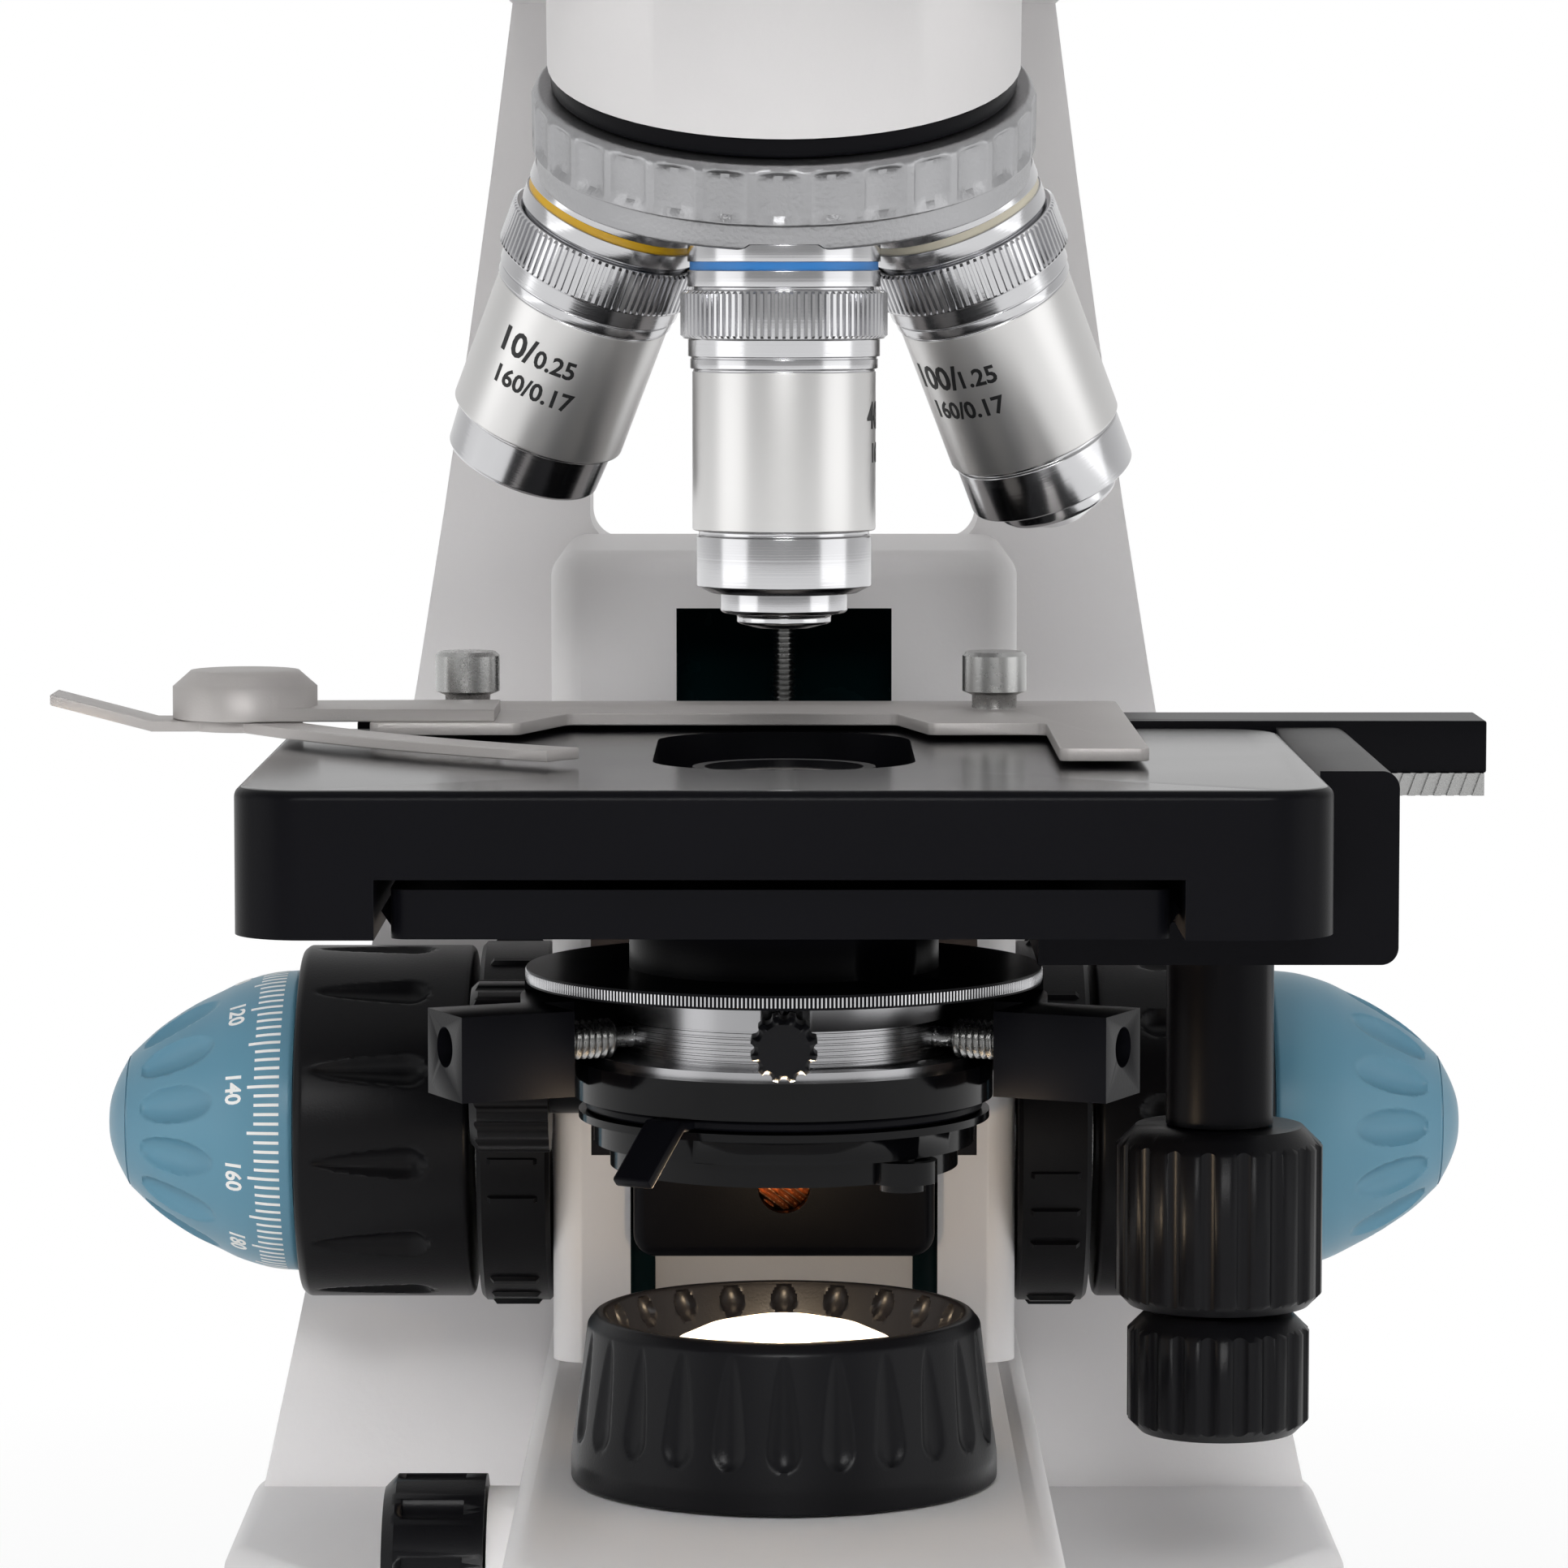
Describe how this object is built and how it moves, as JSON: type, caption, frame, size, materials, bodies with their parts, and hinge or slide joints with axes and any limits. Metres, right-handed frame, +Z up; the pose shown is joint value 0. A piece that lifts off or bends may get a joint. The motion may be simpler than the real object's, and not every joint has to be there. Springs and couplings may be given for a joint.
{
  "type": "compound microscope",
  "caption": "Upright compound microscope with mechanical stage, tilted objective turret, Abbe condenser, built-in lamp, coaxial focus knobs and inclined binocular head.",
  "frame": {"origin": "on the table below the optical axis, at the middle of the overall box", "axes": "+X to the user's right, -Y towards the user, +Z up along the optical axis"},
  "size_m": [0.1804, 0.3, 0.3833],
  "materials": {
    "white_enamel": "white enamel on a cast body",
    "black_anodised": "satin black",
    "black_plastic": "satin moulded",
    "gloss_black": "gloss black",
    "bright_steel": "turned and plated",
    "satin_chrome": "satin chrome on brass",
    "cast_silver": "grainy die cast",
    "blasted_aluminium": "bead blasted",
    "brass": "machined",
    "dark_steel": "powder coat",
    "teal_plastic": "smooth moulded",
    "rubber": "matt",
    "lens_glass": "polished",
    "board": "board"
  },
  "bodies": {
    "stand": {"base": "white_enamel", "base_plate": "dark_steel", "feet": "rubber", "base_screws": "bright_steel", "arm": "white_enamel", "focus_column": "white_enamel", "stop_rod": "bright_steel", "drive_bushes": "bright_steel", "nosepiece_disc": "black_anodised", "lamp_tube": "black_anodised", "lamp_module": "cast_silver", "collector_lens": "lens_glass", "control_board": "board", "power_inlet": "black_plastic"},
    "turret": {"turret": "cast_silver", "objective_4x": "satin_chrome", "objective_10x": "satin_chrome", "objective_40x": "satin_chrome", "objective_100x": "satin_chrome"},
    "nose_40x": {"nose_40x": "bright_steel"},
    "nose_100x": {"nose_100x": "bright_steel"},
    "coarse_drive": {"coarse_shaft": "brass", "coarse_knobs": "black_plastic"},
    "fine_drive": {"fine_knob_left": "teal_plastic", "fine_knob_right": "teal_plastic"},
    "tension_ring": {"tension_ring": "black_plastic"},
    "stop_collar": {"stop_collar": "black_plastic"},
    "coarse_slide": {"coarse_slide": "cast_silver"},
    "stage": {"stage_carrier": "black_anodised", "stage_lower_plate": "black_anodised", "substage_guide": "black_anodised"},
    "y_plate": {"stage_upper_plate": "black_anodised", "drive_bracket": "black_anodised"},
    "x_carriage": {"x_bar": "black_anodised", "x_rack": "bright_steel", "slide_holder": "blasted_aluminium", "holder_screws": "bright_steel", "clip_arm": "black_anodised"},
    "clip_lever": {"clip_lever": "blasted_aluminium"},
    "y_knob": {"y_knob": "black_plastic"},
    "x_knob": {"x_knob": "black_plastic"},
    "condenser": {"condenser_fork": "black_anodised", "centring_screws": "bright_steel", "condenser_body": "black_anodised", "condenser_lens": "lens_glass", "condenser_barrel": "blasted_aluminium", "iris_housing": "gloss_black"},
    "iris_lever": {"iris_lever": "bright_steel"},
    "filter_holder": {"filter_holder": "black_anodised"},
    "clamp_screw": {"clamp_screw": "bright_steel"},
    "height_knob": {"height_knob": "black_plastic"},
    "collector_ring": {"collector_ring": "black_plastic"},
    "dimmer_knob": {"dimmer_knob": "black_plastic"},
    "switch_rocker": {"switch_rocker": "black_plastic"},
    "head": {"head_body": "white_enamel"},
    "tube_left": {"tube_left": "black_anodised", "eyepiece_left": "black_plastic"},
    "tube_right": {"tube_right": "black_anodised", "eyepiece_right": "black_plastic"},
    "dioptre_ring": {"dioptre_ring": "black_plastic"}
  },
  "joints": [
    {"name": "nosepiece_turn", "type": "hinge", "parent": "stand", "child": "turret", "pos_m": [0, 0.01785, 0.206], "axis": [0, -0.342, 0.9397], "continuous": true},
    {"name": "nose_40x_spring", "type": "slide", "parent": "turret", "child": "nose_40x", "axis": [0, 0, 1], "range_m": [0, 0.002], "stiffness_N_per_m": 500, "springref_m": -0.002},
    {"name": "nose_100x_spring", "type": "slide", "parent": "turret", "child": "nose_100x", "axis": [-0.342, -0.3214, 0.883], "range_m": [0, 0.002], "stiffness_N_per_m": 500, "springref_m": -0.002},
    {"name": "coarse_focus", "type": "slide", "parent": "stand", "child": "coarse_slide", "axis": [0, 0, 1], "range_m": [-0.003, 0.0132]},
    {"name": "coarse_knob_turn", "type": "hinge", "parent": "stand", "child": "coarse_drive", "pos_m": [0, 0.097, 0.083], "axis": [-1, 0, 0], "range_deg": [-35, 152]},
    {"name": "fine_knob_turn", "type": "hinge", "parent": "stand", "child": "fine_drive", "pos_m": [0, 0.097, 0.083], "axis": [-1, 0, 0], "range_deg": [-900, 900]},
    {"name": "fine_focus", "type": "slide", "parent": "coarse_slide", "child": "stage", "axis": [0, 0, 1], "range_m": [-0.00052, 0.00052]},
    {"name": "tension_turn", "type": "hinge", "parent": "stand", "child": "tension_ring", "pos_m": [0, 0.097, 0.083], "axis": [-1, 0, 0], "range_deg": [-30, 60]},
    {"name": "stop_collar_turn", "type": "hinge", "parent": "stand", "child": "stop_collar", "pos_m": [0, 0.097, 0.083], "axis": [-1, 0, 0], "range_deg": [-90, 90]},
    {"name": "stage_y", "type": "slide", "parent": "stage", "child": "y_plate", "axis": [0, 1, 0], "range_m": [-0.012, 0.009]},
    {"name": "y_knob_turn", "type": "hinge", "parent": "y_plate", "child": "y_knob", "pos_m": [0.054, 0.038, 0.08], "axis": [0, 0, 1], "range_deg": [-138, 104]},
    {"name": "stage_x", "type": "slide", "parent": "y_plate", "child": "x_carriage", "axis": [1, 0, 0], "range_m": [-0.023, 0.026]},
    {"name": "x_knob_turn", "type": "hinge", "parent": "y_plate", "child": "x_knob", "pos_m": [0.054, 0.038, 0.06], "axis": [0, 0, 1], "range_deg": [-299, 264]},
    {"name": "clip_open", "type": "hinge", "parent": "x_carriage", "child": "clip_lever", "pos_m": [-0.0657, 0.0295, 0.1415], "axis": [0, 0, -1], "range_deg": [0, 30], "stiffness_Nm_per_rad": 0.05, "springref_deg": -17.19},
    {"name": "condenser_height", "type": "slide", "parent": "stage", "child": "condenser", "axis": [0, 0, 1], "range_m": [-0.012, 0]},
    {"name": "height_knob_turn", "type": "hinge", "parent": "stage", "child": "height_knob", "pos_m": [0, 0.061, 0.095], "axis": [-1, 0, 0], "range_deg": [-138, 1]},
    {"name": "iris_turn", "type": "hinge", "parent": "condenser", "child": "iris_lever", "pos_m": [0, 0, 0.1], "axis": [0, 0, 1], "range_deg": [-28, 28]},
    {"name": "filter_swing", "type": "hinge", "parent": "condenser", "child": "filter_holder", "pos_m": [0.01372, -0.01523, 0.092], "axis": [0, 0, -1], "range_deg": [0, 90]},
    {"name": "clamp_turn", "type": "hinge", "parent": "condenser", "child": "clamp_screw", "pos_m": [0, -0.03, 0.10915], "axis": [0, -1, 0], "continuous": true},
    {"name": "collector_turn", "type": "hinge", "parent": "stand", "child": "collector_ring", "pos_m": [0, 0, 0.064], "axis": [0, 0, 1], "range_deg": [-45, 45]},
    {"name": "dimmer_turn", "type": "hinge", "parent": "stand", "child": "dimmer_knob", "pos_m": [-0.04, 0.006, 0.04], "axis": [-1, 0, 0], "range_deg": [-135, 135]},
    {"name": "switch_rock", "type": "hinge", "parent": "stand", "child": "switch_rocker", "pos_m": [0.034, 0.1475, 0.016], "axis": [1, 0, 0], "range_deg": [-14, 0]},
    {"name": "head_turn", "type": "hinge", "parent": "stand", "child": "head", "pos_m": [0, 0, 0.258], "axis": [0, 0, 1], "continuous": true},
    {"name": "tube_left_swing", "type": "hinge", "parent": "head", "child": "tube_left", "pos_m": [0, -0.058, 0.296], "axis": [0, -0.866, 0.5], "range_deg": [-14, 34]},
    {"name": "tube_right_swing", "type": "hinge", "parent": "head", "child": "tube_right", "pos_m": [0, -0.058, 0.296], "axis": [0, -0.866, 0.5], "range_deg": [-34, 14]},
    {"name": "dioptre_turn", "type": "hinge", "parent": "tube_left", "child": "dioptre_ring", "pos_m": [-0.031, -0.04745, 0.31427], "axis": [0, -0.866, 0.5], "range_deg": [-120, 120]}
  ],
  "couplings": [
    {"joint": "coarse_knob_turn", "follows": "coarse_focus", "rad_per_m": 200},
    {"joint": "fine_focus", "follows": "fine_knob_turn", "m_per_rad": 0.000031831},
    {"joint": "y_knob_turn", "follows": "stage_y", "rad_per_m": 200},
    {"joint": "x_knob_turn", "follows": "stage_x", "rad_per_m": -200},
    {"joint": "height_knob_turn", "follows": "condenser_height", "rad_per_m": 200},
    {"joint": "tube_right_swing", "follows": "tube_left_swing", "ratio": -1}
  ]
}
